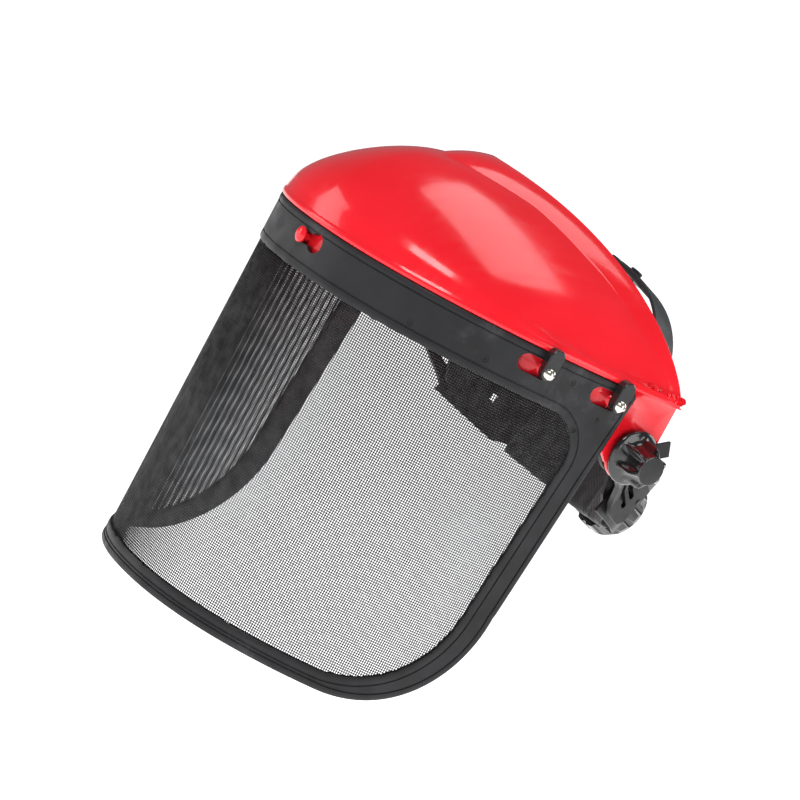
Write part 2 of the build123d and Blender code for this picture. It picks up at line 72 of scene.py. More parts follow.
LIP_INSET = 0.4
SHELL_T = 2.2
EDGE_TOP = (-89.0, 67.0)        # y and height above the lip of the rear edge's middle
EDGE_END = (111.6, 12.0)        # x and y of the rear corner
EDGE_ROUND = 14.0               # rounding of the rear edge at its middle
CREASE_X = (0, 37, 62, 88, 111)         # the crease runs this far
CREASE_AHEAD = (35, 20, 18, 12, 5)      # ahead of the rear edge
CREASE_DROP = 0.30              # and this share of that below it
COVE = 3.0                      # depth of the hollow above the lip at the sides
BEAD_H = 4.3                    # height of the bead above the lip
DOME_FULL = 1.85                # fullness of the dome up to the crease, 2 is round


# ---------------------------------------------------------------- visor's curve
def plan_table():
    """Points of the visor's left half from the nose back: length, x, y and outward normal."""
    a = np.linspace(0, math.pi / 2, 4001)
    x = PLAN_A * np.sin(a) ** (2 / PLAN_N)
    y = PLAN_Y - PLAN_B * np.abs(np.cos(a)) ** (2 / PLAN_N)
    y[-1] = PLAN_Y
    back = np.linspace(PLAN_Y + 0.25, 25, 120)
    x = np.concatenate([x, np.full(back.size, PLAN_A)])
    y = np.concatenate([y, back])
    step = np.hypot(np.diff(x), np.diff(y))
    s = np.concatenate([[0], np.cumsum(step)])
    even = np.arange(0, s[-1], 0.25)
    x, y = np.interp(even, s, x), np.interp(even, s, y)
    reach = np.clip((PLAN_Y - y) / PLAN_B, 0, None)
    nx = (np.clip(x, 0, None) / PLAN_A) ** (PLAN_N - 1) / PLAN_A
    ny = -(reach ** (PLAN_N - 1)) / PLAN_B
    size = np.hypot(nx, ny)
    return even, x, y, nx / size, ny / size


TABLE_S, TABLE_X, TABLE_Y, TABLE_NX, TABLE_NY = plan_table()


def length_at_y(y):
    """Length along the curve from the nose to a given y on the side."""
    return np.interp(y, TABLE_Y, TABLE_S)


def place(s, z, depth):
    """Point at length s from the nose (positive on the left), height z, depth below the outer face."""
    s, z, depth = np.broadcast_arrays(np.asarray(s, float), z, depth)
    side, t = np.sign(s), np.abs(s)
    x = np.interp(t, TABLE_S, TABLE_X) - depth * np.interp(t, TABLE_S, TABLE_NX)
    y = np.interp(t, TABLE_S, TABLE_Y) - depth * np.interp(t, TABLE_S, TABLE_NY)
    return np.stack([x * side, y, z], -1)


# ---------------------------------------------------------------- mesh helpers
def mesh_piece(name, points, faces, body, material, smooth_angle=35, doubles=True):
    """New piece from points in millimetres, riding on a body."""
    mesh = bpy.data.meshes.new(name)
    mesh.from_pydata((np.asarray(points, float) * MM).tolist(), [], [list(f) for f in faces])
    bm = bmesh.new()
    bm.from_mesh(mesh)
    if doubles:
        bmesh.ops.remove_doubles(bm, verts=bm.verts, dist=1e-6)
    bmesh.ops.recalc_face_normals(bm, faces=bm.faces)
    bm.to_mesh(mesh)
    bm.free()
    piece = bpy.data.objects.new(name, mesh)
    bpy.context.scene.collection.objects.link(piece)
    finish_mesh(piece, smooth_angle)
    mesh.materials.append(material)
    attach(piece, body)
    return piece


def finish_mesh(piece, smooth_angle):
    piece.data.shade_smooth()
    piece.data.set_sharp_from_angle(angle=math.radians(smooth_angle))


def apply_modifiers(piece):
    """Replace a piece's mesh by its evaluated one and drop the modifiers."""
    graph = bpy.context.evaluated_depsgraph_get()
    mesh = bpy.data.meshes.new_from_object(piece.evaluated_get(graph))
    old = piece.data
    piece.modifiers.clear()
    piece.data = mesh
    bpy.data.meshes.remove(old)


def grid_faces(rows, columns, close_rows=False, close_columns=False):
    faces = []
    for i in range(rows if close_rows else rows - 1):
        for j in range(columns if close_columns else columns - 1):
            a, b = i * columns + j, i * columns + (j + 1) % columns
            c = (i + 1) % rows * columns + (j + 1) % columns
            d = (i + 1) % rows * columns + j
            faces.append((a, b, c, d))
    return faces


# ---------------------------------------------------------------- materials
def start_material(name, color, roughness, metallic=0.0):
    material = bpy.data.materials.new(name)
    material.use_nodes = True
    tree = material.node_tree
    shader = tree.nodes["Principled BSDF"]
    shader.inputs["Base Color"].default_value = (*color, 1)
    shader.inputs["Roughness"].default_value = roughness
    shader.inputs["Metallic"].default_value = metallic
    material.diffuse_color = (*color, 1)
    place_node = tree.nodes.new("ShaderNodeTexCoord")
    return material, tree, shader, place_node.outputs["Object"]


def noise(tree, where, scale, detail=3.0, stretch=None):
    """Noise value; scale counts cells per metre, stretch squeezes it along the axes."""
    if stretch:
        mapping = tree.nodes.new("ShaderNodeMapping")
        mapping.inputs["Scale"].default_value = stretch
        tree.links.new(where, mapping.inputs["Vector"])
        where = mapping.outputs["Vector"]
    made = tree.nodes.new("ShaderNodeTexNoise")
    made.inputs["Scale"].default_value = scale
    made.inputs["Detail"].default_value = detail
    tree.links.new(where, made.inputs["Vector"])
    return made.outputs["Fac"]


def ramp(tree, value, low, high, start=0.35, end=0.65):
    """Colour or grey ramp of a value."""
    made = tree.nodes.new("ShaderNodeValToRGB")
    made.color_ramp.elements[0].position = start
    made.color_ramp.elements[1].position = end
    for element, color in zip(made.color_ramp.elements, (low, high)):
        element.color = (*color, 1) if hasattr(color, "__len__") else (color, color, color, 1)
    tree.links.new(value, made.inputs["Fac"])
    return made.outputs["Color"]


def mix(tree, factor, first, second, kind="MIX"):
    made = tree.nodes.new("ShaderNodeMix")
    made.data_type = "RGBA"
    made.blend_type = kind
    if isinstance(factor, float):
        made.inputs[0].default_value = factor
    else:
        tree.links.new(factor, made.inputs[0])
    for socket, value in ((made.inputs[6], first), (made.inputs[7], second)):
        if hasattr(value, "__len__"):
            socket.default_value = (*value, 1)
        else:
            tree.links.new(value, socket)
    return made.outputs[2]


def bump(tree, shader, height, strength, distance, before=None):
    made = tree.nodes.new("ShaderNodeBump")
    made.inputs["Strength"].default_value = strength
    made.inputs["Distance"].default_value = distance
    tree.links.new(height, made.inputs["Height"])
    if before is not None:
        tree.links.new(before, made.inputs["Normal"])
    tree.links.new(made.outputs["Normal"], shader.inputs["Normal"])
    return made.outputs["Normal"]


def plastic(name, color, light, rough, rough_high, grain=900.0, grain_depth=0.00004,
            scuff=None, coat=0.0, specular=0.5):
    """Moulded plastic: slight mottling, uneven gloss, fine grain, and scuffs where asked."""
    material, tree, shader, where = start_material(name, color, rough)
    cloud = noise(tree, where, 35.0, 4.0)
    tint = ramp(tree, cloud, color, light)
    if scuff:
        patch = noise(tree, where, 28.0, 6.0)
        amount = ramp(tree, patch, 0.0, 0.55, 0.56, 0.74)
        fine = noise(tree, where, 420.0, 5.0)
        amount = mix(tree, 1.0, amount, ramp(tree, fine, 0.2, 1.0, 0.3, 0.7), "MULTIPLY")
        tint = mix(tree, amount, tint, scuff)
    tree.links.new(tint, shader.inputs["Base Color"])
    gloss = noise(tree, where, 90.0, 5.0)
    tree.links.new(ramp(tree, gloss, rough, rough_high), shader.inputs["Roughness"])
    waves = noise(tree, where, 55.0, 1.0)
    first = bump(tree, shader, waves, 0.12, 0.0004)
    bump(tree, shader, noise(tree, where, grain, 3.0), 0.5, grain_depth, first)
    shader.inputs["Specular IOR Level"].default_value = specular
    shader.inputs["Coat Weight"].default_value = coat
    shader.inputs["Coat Roughness"].default_value = 0.08
    return material


def metal(name, color, light, rough, rough_high, stretch=(1, 1, 1)):
    """Plated or turned metal: fine tool marks and a little unevenness in its gloss."""
    material, tree, shader, where = start_material(name, color, rough, 1.0)
    tree.links.new(ramp(tree, noise(tree, where, 160.0, 4.0), color, light),
                   shader.inputs["Base Color"])
    marks = noise(tree, where, 1400.0, 3.0, stretch)
    tree.links.new(ramp(tree, marks, rough, rough_high), shader.inputs["Roughness"])
    bump(tree, shader, marks, 0.25, 0.00003)
    return material


def cloth(name, color, light):
    """Towelling over foam: small loops, a soft sheen and a faint diagonal weave."""
    material, tree, shader, where = start_material(name, color, 0.9)
    loops = noise(tree, where, 1100.0, 2.0)
    tint = ramp(tree, loops, color, light, 0.3, 0.7)
    tint = mix(tree, ramp(tree, noise(tree, where, 60.0, 4.0), 0.0, 0.35), tint, light)
    tree.links.new(tint, shader.inputs["Base Color"])
    shader.inputs["Sheen Weight"].default_value = 0.35
    shader.inputs["Sheen Roughness"].default_value = 0.4
    weave = tree.nodes.new("ShaderNodeTexWave")
    weave.inputs["Scale"].default_value = 220.0
    weave.inputs["Distortion"].default_value = 1.5
    weave.bands_direction = "DIAGONAL"
    tree.links.new(where, weave.inputs["Vector"])
    first = bump(tree, shader, weave.outputs["Fac"], 0.35, 0.0002)
    bump(tree, shader, loops, 0.8, 0.0004, first)
    return material


def red_plastic():
    """The browguard's glossy red: even colour, slow sink waves and hair scratches."""
    material, tree, shader, where = start_material("browguard_red", (0.88, 0.010, 0.020), 0.2)
    cloud = noise(tree, where, 18.0, 3.0)
    tint = ramp(tree, cloud, (0.86, 0.009, 0.018), (0.95, 0.014, 0.026))
    tree.links.new(tint, shader.inputs["Base Color"])
    hairs = noise(tree, where, 300.0, 4.0, (1.0, 0.08, 0.5))
    tree.links.new(ramp(tree, hairs, 0.13, 0.24, 0.4, 0.75), shader.inputs["Roughness"])
    slow = bump(tree, shader, noise(tree, where, 26.0, 1.0), 0.10, 0.0008)
    bump(tree, shader, noise(tree, where, 1500.0, 2.0), 0.10, 0.00003, slow)
    shader.inputs["Coat Weight"].default_value = 0.15
    shader.inputs["Specular IOR Level"].default_value = 0.4
    shader.inputs["Coat Roughness"].default_value = 0.05
    return material


RED = red_plastic()
VISOR_BLACK = plastic("visor_black", (0.010, 0.010, 0.011), (0.016, 0.016, 0.018), 0.42, 0.6,
                      grain=1300.0, scuff=(0.13, 0.13, 0.135), specular=0.35)
WIRE_BLACK = metal("wire_black", (0.03, 0.03, 0.032), (0.07, 0.07, 0.07), 0.4, 0.55)
KNOB_BLACK = plastic("knob_black", (0.008, 0.008, 0.009), (0.013, 0.013, 0.014), 0.10, 0.2,
                     coat=0.5)
KNOB_END = plastic("knob_end", (0.012, 0.012, 0.013), (0.018, 0.018, 0.019), 0.45, 0.6)
LEVER_BLACK = plastic("lever_black", (0.012, 0.012, 0.013), (0.02, 0.02, 0.021), 0.25, 0.4)
HARNESS_BLACK = plastic("harness_black", (0.008, 0.008, 0.009), (0.014, 0.014, 0.015), 0.38, 0.52,
                        grain=700.0, specular=0.35)
STRAP_GREY = plastic("strap_grey", (0.020, 0.021, 0.023), (0.030, 0.031, 0.034), 0.42, 0.56,
                     specular=0.35)
WASHER_BLACK = plastic("washer_black", (0.018, 0.018, 0.018), (0.03, 0.03, 0.03), 0.6, 0.75)
ACETAL_WHITE = plastic("acetal_white", (0.62, 0.61, 0.57), (0.7, 0.69, 0.65), 0.3, 0.42)
NICKEL = metal("nickel", (0.72, 0.68, 0.58), (0.86, 0.83, 0.75), 0.12, 0.26)
ZINC = metal("zinc", (0.52, 0.53, 0.55), (0.66, 0.66, 0.67), 0.22, 0.4, (1, 8, 8))
BRASS = metal("brass", (0.72, 0.52, 0.22), (0.84, 0.64, 0.32), 0.2, 0.36, (8, 1, 1))
TOWELLING = cloth("towelling", (0.010, 0.010, 0.011), (0.026, 0.026, 0.028))


def dress_cad_nodes():
    """Give every CAD node that stays its material."""
    chosen = {
        "latch_rivets": NICKEL, "latch_lever": LEVER_BLACK, "pivot_knob": KNOB_BLACK,
        "knob_insert": BRASS, "pivot_bolt": ZINC, "friction_washer": WASHER_BLACK,
        "tab_washer": HARNESS_BLACK, "head_band": HARNESS_BLACK, "crown_strap": STRAP_GREY,
        "crown_pegs": HARNESS_BLACK, "crown_studs": HARNESS_BLACK, "pivot_arm": HARNESS_BLACK,
        "guide_stud": HARNESS_BLACK, "rear_strap": HARNESS_BLACK, "ratchet_case": HARNESS_BLACK,
        "ratchet_back_plate": HARNESS_BLACK, "ratchet_case_screws": ZINC,
        "detent_spring": ZINC, "ratchet_knob": KNOB_BLACK, "ratchet_pinion": ACETAL_WHITE,
        "detent_wheel": ACETAL_WHITE, "ratchet_screw": ZINC, "sweatband": TOWELLING,
        "nape_pad": TOWELLING, "browguard_shell": RED, "visor_frame": VISOR_BLACK,
        "visor_mesh": WIRE_BLACK,
    }
    for name, cad in NODES.items():
        key = max((k for k in chosen if name.startswith(k)), key=len)
        cad.data.materials.clear()
        cad.data.materials.append(chosen[key])


# ---------------------------------------------------------------- visor frame
def rear_edge_y(z):
    return REAR_TOP_Y + (REAR_LOW_Y - REAR_TOP_Y) * (BRIM_Z - z) / VISOR_H


def window_corner(z_edge, radius, turn):
    """Centre of a window corner's arc that touches the level edge and the slanting rear edge."""
    slope = math.atan2(REAR_TOP_Y - REAR_LOW_Y, VISOR_H)
    z = z_edge + turn * radius
    edge_y = rear_edge_y(z) - RIM_W
    return edge_y - radius / math.cos(slope), z, slope


def outer_hit(y, z, dy, dz):
    """Where a ray from inside meets the visor's outer outline in the side view."""
    slope = math.atan2(REAR_TOP_Y - REAR_LOW_Y, VISOR_H)
    best = 1e9
    if dz > 1e-9:
        best = min(best, (BRIM_Z - z) / dz)
    if dz < -1e-9:
        best = min(best, (VISOR_LOW - z) / dz)
    # the slanting rear edge: y = rear_edge_y(z)
    lean = (REAR_TOP_Y - REAR_LOW_Y) / VISOR_H
    run = dy - lean * dz
    if run > 1e-9:
        best = min(best, (rear_edge_y(z) - y) / run)
    # the round lower corner
    cz = VISOR_LOW + CORNER_R
    cy = rear_edge_y(cz) - CORNER_R / math.cos(slope)
    py, pz = y + dy * best, z + dz * best
    if pz < cz and py > cy:
        oy, oz = y - cy, z - cz
        b, c = oy * dy + oz * dz, oy * oy + oz * oz - CORNER_R ** 2
        if b * b > c:
            best = -b + math.sqrt(b * b - c)
    return y + dy * best, z + dz * best


def frame_stations():
    """Pairs of points (length, z) on the window's edge and the outer edge, nose top to nose bottom."""
    pairs = []
    top, low = BRIM_Z - BAND_H, VISOR_LOW + RIM_LOW
    top_y, top_z, slope = window_corner(top, WINDOW_TOP_R, -1)
    low_y, low_z, slope = window_corner(low, WINDOW_LOW_R, 1)
    for s in np.linspace(0, length_at_y(top_y), 70, endpoint=False):
        pairs.append(((s, top), (s, BRIM_Z)))
    turn_end = slope                      # the rear edge's normal leans down by its slope
    for a in np.linspace(math.pi / 2, -turn_end, 26, endpoint=False):
        dy, dz = math.cos(a), math.sin(a)
        y, z = top_y + WINDOW_TOP_R * dy, top_z + WINDOW_TOP_R * dz
        oy, oz = outer_hit(top_y, top_z, dy, dz)
        pairs.append(((length_at_y(y), z), (length_at_y(oy), oz)))
    dy, dz = math.cos(turn_end), -math.sin(turn_end)
    start = (top_y + WINDOW_TOP_R * dy, top_z + WINDOW_TOP_R * dz)
    end = (low_y + WINDOW_LOW_R * dy, low_z + WINDOW_LOW_R * dz)
    for t in np.linspace(0, 1, 40, endpoint=False):
        y, z = start[0] + (end[0] - start[0]) * t, start[1] + (end[1] - start[1]) * t
        oy, oz = outer_hit(y, z, dy, dz)
        pairs.append(((length_at_y(y), z), (length_at_y(oy), oz)))
    for a in np.linspace(-turn_end, -math.pi / 2, 44, endpoint=False):
        dy, dz = math.cos(a), math.sin(a)
        y, z = low_y + WINDOW_LOW_R * dy, low_z + WINDOW_LOW_R * dz
        oy, oz = outer_hit(low_y, low_z, dy, dz)
        pairs.append(((length_at_y(y), z), (length_at_y(oy), oz)))
    for s in np.linspace(length_at_y(low_y), 0, 60):
        pairs.append(((s, low), (s, VISOR_LOW)))
    return np.array(pairs)


# profile across the rim: edge it is measured from, distance from it, depth below the outer face
RIM_PROFILE = [
    ("window", 0.0, 1.0), ("window", 0.25, 0.35), ("window", 0.8, 0.05), ("window", 2.4, -0.12),
    ("window", 4.0, 0.05), ("window", 4.25, 0.55), ("window", 4.75, 0.55), ("window", 5.0, 0.0),
    ("outer", 4.3, 0.0), ("outer", 4.05, 0.5), ("outer", 3.6, 0.5), ("outer", 3.35, -0.15),
    ("outer", 2.0, -0.3), ("outer", 0.8, -0.1), ("outer", 0.2, 0.4), ("outer", 0.0, 1.1),
    ("outer", 0.0, 2.2), ("outer", 0.6, 3.0), ("window", 5.0, 3.0), ("window", 1.0, 3.0),
    ("window", 0.2, 2.6), ("window", 0.0, 2.0),
]


def make_visor_frame():
    left = frame_stations()
    right = left[-2:0:-1] * np.array([-1, 1])
    stations = np.concatenate([left, right])
    window, outer = stations[:, 0], stations[:, 1]
    span = np.linalg.norm(outer - window, axis=1)
    rng = np.random.default_rng(7)
    rag = rng.normal(0, 0.22, len(stations))      # the moulded edge on the mesh is not quite even
    rows = []
    for edge, distance, depth in RIM_PROFILE:
        share = distance / span if edge == "window" else 1 - distance / span
        if edge == "window" and distance < 1:
            share = share + rag / span
        spot = window + (outer - window) * share[:, None]
        rows.append(place(spot[:, 0], spot[:, 1], depth))
    points = np.stack(rows, 1).reshape(-1, 3)
    faces = grid_faces(len(stations), len(RIM_PROFILE), True, True)
    piece = mesh_piece("visor_rim", points, faces, "shield", VISOR_BLACK)
    cut_holes(piece)
    finish_mesh(piece, 32)
    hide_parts("visor_frame")


def side_matrix(y, z, side):
    """Matrix on the outer face at y: local Z out, local X up."""
    s = float(length_at_y(y))
    spot = place(s, z, 0.0)
    nx = float(np.interp(s, TABLE_S, TABLE_NX))
    ny = float(np.interp(s, TABLE_S, TABLE_NY))
    out = Vector((nx * side, ny, 0))
    up = Vector((0, 0, 1))
    third = out.cross(up)
    rotation = Matrix((up, third, out)).transposed().to_4x4()
    spot = Vector((spot[0] * side, spot[1], spot[2])) * MM
    return Matrix.Translation(spot) @ rotation


def prism(bm, matrix, shape, low, high):
    """Add a closed prism of a flat outline (local x, y in mm) to a bmesh."""
    rings = []
    for level in (low, high):
        rings.append([bm.verts.new(matrix @ (Vector((x, y, level)) * MM)) for x, y in shape])
    n = len(shape)
    for i in range(n):
        j = (i + 1) % n
        bm.faces.new((rings[0][i], rings[0][j], rings[1][j], rings[1][i]))
    bm.faces.new(rings[0][::-1])
    bm.faces.new(rings[1])


def slot_shape(x0, y0, x1, y1, radius, steps=14):
    """Outline of a slot with round ends between two centres."""
    turn = math.atan2(y1 - y0, x1 - x0)
    shape = []
    for cx, cy, start in ((x1, y1, turn - math.pi / 2), (x0, y0, turn + math.pi / 2)):
        for i in range(steps + 1):
            a = start + math.pi * i / steps
            shape.append((cx + radius * math.cos(a), cy + radius * math.sin(a)))
    return shape


def round_shape(x, y, radius, steps=28):
    turns = [2 * math.pi * i / steps for i in range(steps)]
    return [(x + radius * math.cos(a), y + radius * math.sin(a)) for a in turns]


def cut_holes(piece):
    """Cut the latch slots, the keyhole and the shallow ejector marks."""
    cutters = []

    def cutter(fill):
        bm = bmesh.new()
        fill(bm)
        bmesh.ops.recalc_face_normals(bm, faces=bm.faces)
        mesh = bpy.data.meshes.new("cutter")
        bm.to_mesh(mesh)
        bm.free()
        made = bpy.data.objects.new("cutter", mesh)
        bpy.context.scene.collection.objects.link(made)
        cutters.append(made)

    reach = SLOT_REACH - SLOT_W / 2
    for side in (1, -1):
        for y in LATCH_Y:
            shape = slot_shape(0, 0, 0, side * reach, SLOT_W / 2)
            cutter(lambda bm, y=y, side=side, shape=shape:
                   prism(bm, side_matrix(y, LATCH_Z, side), shape, -8, 8))
    facing = Matrix.Translation(Vector((0, PLAN_Y - PLAN_B, BUTTON_Z)) * MM)
    facing = facing @ Matrix.Rotation(math.pi / 2, 4, "X")
    shape = slot_shape(0, 0, KEYHOLE_X, 0, KEYHOLE_R - 2)
    cutter(lambda bm: prism(bm, facing, shape, -12, 12))
    ring = round_shape(KEYHOLE_X, 0, KEYHOLE_R)
    cutter(lambda bm: prism(bm, facing, ring, -12, 12))
    for side in (1, -1):
        for y, z in ((-135.3, 13.9), (-102.0, 15.0), (-57.5, 23.0), (-34.2, 11.2), (-44.0, 2.0)):
            cutter(lambda bm, y=y, z=z, side=side:
                   prism(bm, side_matrix(y, z, side), round_shape(0, 0, 2.0), -0.35, 2))
            cutter(lambda bm, y=y, z=z, side=side:
                   prism(bm, side_matrix(y, z, side), round_shape(0, 0, 0.9), -0.7, 2))
    for made in cutters:
        modifier = piece.modifiers.new("cut", "BOOLEAN")
        modifier.operation = "DIFFERENCE"
        modifier.solver = "EXACT"
        modifier.object = made
    apply_modifiers(piece)
    for made in cutters:
        bpy.data.objects.remove(made)


# ---------------------------------------------------------------- woven mesh
def window_bounds(grow):
    """Closed window outline on the left half in (length, z), grown outwards."""
    pairs = frame_stations()
    window, outer = pairs[:, 0], pairs[:, 1]
    span = np.linalg.norm(outer - window, axis=1)
    return window + (outer - window) * (grow / span)[:, None]


def tube_rows(lines, radius, sides, turn=0.0):
    """Points and faces of tubes along (n, 3) lines, with closed ends."""
    points, faces, base = [], [], 0
    for line, across, depth in lines:
        n = len(line)
        ring = []
        for k in range(sides):
            a = 2 * math.pi * k / sides + turn
            ring.append(line + radius * (math.cos(a) * across + math.sin(a) * depth))
        points.append(np.stack(ring, 1).reshape(-1, 3))
        i = np.arange(n - 1)[:, None] * sides
        k = np.arange(sides)[None, :]
        quads = np.stack([i + k, i + (k + 1) % sides, i + sides + (k + 1) % sides,
                          i + sides + k], -1).reshape(-1, 4) + base
        faces.extend(quads.tolist())
        faces.append([base + k for k in range(sides)][::-1])
        faces.append([base + (n - 1) * sides + k for k in range(sides)])
        base += n * sides
    return np.concatenate(points), faces


def raw_piece(name, points, faces, body, material):
    """Large mesh made without clean-up."""
    mesh = bpy.data.meshes.new(name)
    mesh.from_pydata((points * MM).tolist(), [], faces)
    mesh.shade_smooth()
    mesh.materials.append(material)
    piece = bpy.data.objects.new(name, mesh)
    bpy.context.scene.collection.objects.link(piece)
    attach(piece, body)
    return piece


def make_wires():
    """Upright wires stay straight and the level ones weave over and under them."""
    outline = window_bounds(WIRE_BITE)
    widest = outline[:, 0].max()
    half = int(widest / WIRE_PITCH)
    cut = np.argmax(outline[:, 0])
    upper, lower = outline[: cut + 1], outline[cut:][::-1]
    uprights = []
    up = np.array([0.0, 0.0, 1.0])
    for i in range(-half, half + 1):
        s = (i + 0.5) * WIRE_PITCH
        if abs(s) >= widest:
            continue
        high = np.interp(abs(s), upper[:, 0], upper[:, 1])
        low = np.interp(abs(s), lower[:, 0], lower[:, 1])
        if high - low < 2:
            continue
        z = np.array([low, high])
        line = place(s, z, WIRE_DEPTH)
        t = np.interp(abs(s), TABLE_S, TABLE_NX), np.interp(abs(s), TABLE_S, TABLE_NY)
        out = np.array([t[0] * np.sign(s), t[1], 0])
        uprights.append((line, np.cross(up, out), out))
    points, faces = tube_rows(uprights, WIRE_R, 6)
    warp = raw_piece("mesh_upright_wires", points, faces, "shield", WIRE_BLACK)
    levels = []
    top = outline[:, 1].max()
    count = int((top - outline[:, 1].min()) / WIRE_PITCH)
    for j in range(count):
        z = top - (j + 0.5) * WIRE_PITCH
        above, below = outline[:-1], outline[1:]
        hit = 0
        for a, b in zip(above, below):
            if (a[1] - z) * (b[1] - z) <= 0 and a[1] != b[1]:
                hit = max(hit, a[0] + (b[0] - a[0]) * (z - a[1]) / (b[1] - a[1]))
        if hit < 5:
            continue
        n = int(hit / WIRE_PITCH)
        k = np.arange(-n, n + 1)
        s = (k + 0.5) * WIRE_PITCH
        s = s[np.abs(s) <= hit]
        index = np.round(s / WIRE_PITCH - 0.5).astype(int)
        weave = np.where((index + j) % 2 == 0, WIRE_R * 1.05, -WIRE_R * 1.05)
        line = place(s, z, WIRE_DEPTH + weave)
        nx = np.interp(np.abs(s), TABLE_S, TABLE_NX) * np.sign(s)
        ny = np.interp(np.abs(s), TABLE_S, TABLE_NY)
        out = np.stack([nx, ny, np.zeros_like(nx)], -1)
        levels.append((line, np.broadcast_to(up, line.shape), out))
    points, faces = tube_rows(levels, WIRE_R, 3, math.pi / 2)
    weft = raw_piece("mesh_level_wires", points, faces, "shield", WIRE_BLACK)
    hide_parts("visor_mesh")


# ---------------------------------------------------------------- browguard
def rear_edge(x):
    """The dome's rear edge over the wearer's left: y and height above the lip for a given x."""
    share = np.clip(np.sqrt(np.square(x) + EDGE_ROUND ** 2) / EDGE_END[0], 0, 1)
    y = EDGE_END[1] + (EDGE_TOP[0] - EDGE_END[1]) * (1 - share)
    height = EDGE_TOP[1] * (1 - share ** 2.1) ** (1 / 1.35)
    return y, height


def smooth(t, low, high):
    t = np.clip((t - low) / (high - low), 0, 1)
    return t * t * (3 - 2 * t)


def make_dome():
    """Dome with a beaded lip, hollow flanks, a crease near its rear edge and a rolled edge."""
    columns = 170
    s_end = float(length_at_y(EDGE_END[1] - 0.5))
    s = s_end * np.linspace(0, 1, columns)
    lip = place(s, BRIM_Z, LIP_INSET)
    out = np.stack([np.interp(s, TABLE_S, TABLE_NX), np.interp(s, TABLE_S, TABLE_NY)], -1)
    x = np.clip(lip[:, 0], 0, EDGE_END[0] - LIP_INSET)
    edge_y, edge_h = rear_edge(x)
    run = np.maximum(edge_y - lip[:, 1], 0.01)
    climb = np.maximum(edge_h - BEAD_H, 0)
    ahead = np.interp(x, CREASE_X, CREASE_AHEAD)
    crease_f = np.clip(1 - ahead / run, 0.35, 0.96)
    crease_h = np.maximum(climb - CREASE_DROP * ahead, 0.55 * climb)
    hollow = COVE * smooth(s / s_end, 0.42, 0.68) * (1 - smooth(s / s_end, 0.86, 0.99))
    rows = []
    fade = 1 - smooth(s / s_end, 0.9, 0.99)         # the bead dies away at the rear corner
    for push, rise in ((-1.2, 0.2), (0.3, 0.2), (0.9, 0.7), (1.15, 1.6), (1.0, 2.6), (0.5, 3.5),
                       (0.05, BEAD_H)):
        push = push * fade
        rows.append(np.stack([lip[:, 0] + push * out[:, 0], lip[:, 1] + push * out[:, 1],
                              np.full(columns, BRIM_Z + rise)], -1))

    def below_crease(g):
        return (1 - (1 - 0.85 * g) ** DOME_FULL) ** (1 / DOME_FULL)

    shares = [(g, 0.0) for g in np.concatenate([np.linspace(0.012, 0.2, 12),
                                                np.linspace(0.23, 1, 30)])]
    shares += [(1.0, h) for h in np.linspace(0.08, 1, 14)]
    for g, h in shares:
        f = crease_f * g + (1 - crease_f) * h
        height = crease_h * below_crease(g) / below_crease(1.0)
        height = height + (climb - crease_h) * h * (1.6 - 0.6 * h)
        inward = hollow * smooth(f, 0, 0.08) * (1 - smooth(f, 0.25, 0.9))
        rows.append(np.stack([x - inward * out[:, 0],
                              lip[:, 1] + run * f - inward * out[:, 1],
                              BRIM_Z + BEAD_H + height], -1))
    last = rows[-1]
    rolled = smooth(edge_h, 0, 12)
    for back, drop in ((0.7, 0.1), (1.2, 0.5), (1.4, 1.1)):
        rows.append(last + np.stack([np.zeros(columns), back * rolled, -drop * rolled], -1))
    rows = np.stack(rows, 0)
    mirrored = rows[:, :0:-1] * np.array([-1, 1, 1])
    points = np.concatenate([mirrored, rows], 1)
    n_rows, n_columns = points.shape[:2]
    piece = mesh_piece("browguard_dome", points.reshape(-1, 3), grid_faces(n_rows, n_columns),
                       "shield", RED, 60)
    shell = piece.modifiers.new("wall", "SOLIDIFY")
    shell.thickness = SHELL_T * MM
    shell.offset = -1
    apply_modifiers(piece)
    finish_mesh(piece, 60)
    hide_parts("browguard_shell")


def make_skirt():
    """Skirt with its ears, studs and button: the browguard below its lip."""
    mesh = NODES["browguard_shell"].data.copy()
    bm = bmesh.new()
    bm.from_mesh(mesh)
    bmesh.ops.remove_doubles(bm, verts=bm.verts, dist=1e-6)
    level = (BRIM_Z + 0.9) * MM
    cut = bmesh.ops.bisect_plane(bm, geom=bm.verts[:] + bm.edges[:] + bm.faces[:],
                                 plane_co=(0, 0, level), plane_no=(0, 0, 1), clear_outer=True)
    edges = [e for e in cut["geom_cut"] if isinstance(e, bmesh.types.BMEdge)]
    bmesh.ops.holes_fill(bm, edges=edges, sides=0)
    bm.to_mesh(mesh)
    bm.free()
    piece = bpy.data.objects.new("browguard_skirt", mesh)
    bpy.context.scene.collection.objects.link(piece)
    finish_mesh(piece, 30)
    mesh.materials.clear()
    mesh.materials.append(RED)
    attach(piece, "shield")
    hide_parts("browguard_shell")


# ---------------------------------------------------------------- pivot knobs
# the knob's outline: distance from its flange, radius, and how far the ribs stand out
KNOB_PROFILE = [
    (0.0, 13.9, 0.0), (0.3, 14.6, 0.0), (0.8, 14.8, 0.0), (1.5, 14.7, 0.0), (2.0, 14.2, 0.0),
    (2.4, 13.0, 0.1), (2.9, 10.8, 0.8), (3.8, 9.4, 2.0), (5.5, 8.6, 3.0), (8.0, 8.0, 3.6),
    (10.5, 7.6, 3.9), (13.0, 7.4, 4.0), (14.8, 7.3, 3.6), (16.0, 7.5, 2.2), (16.8, 7.7, 0.8),
    (17.2, 7.7, 0.1), (17.4, 7.3, 0.0),
]
KNOB_X = 109.1
KNOB_RIBS = 6
RIB_TURN = math.radians(31.0)


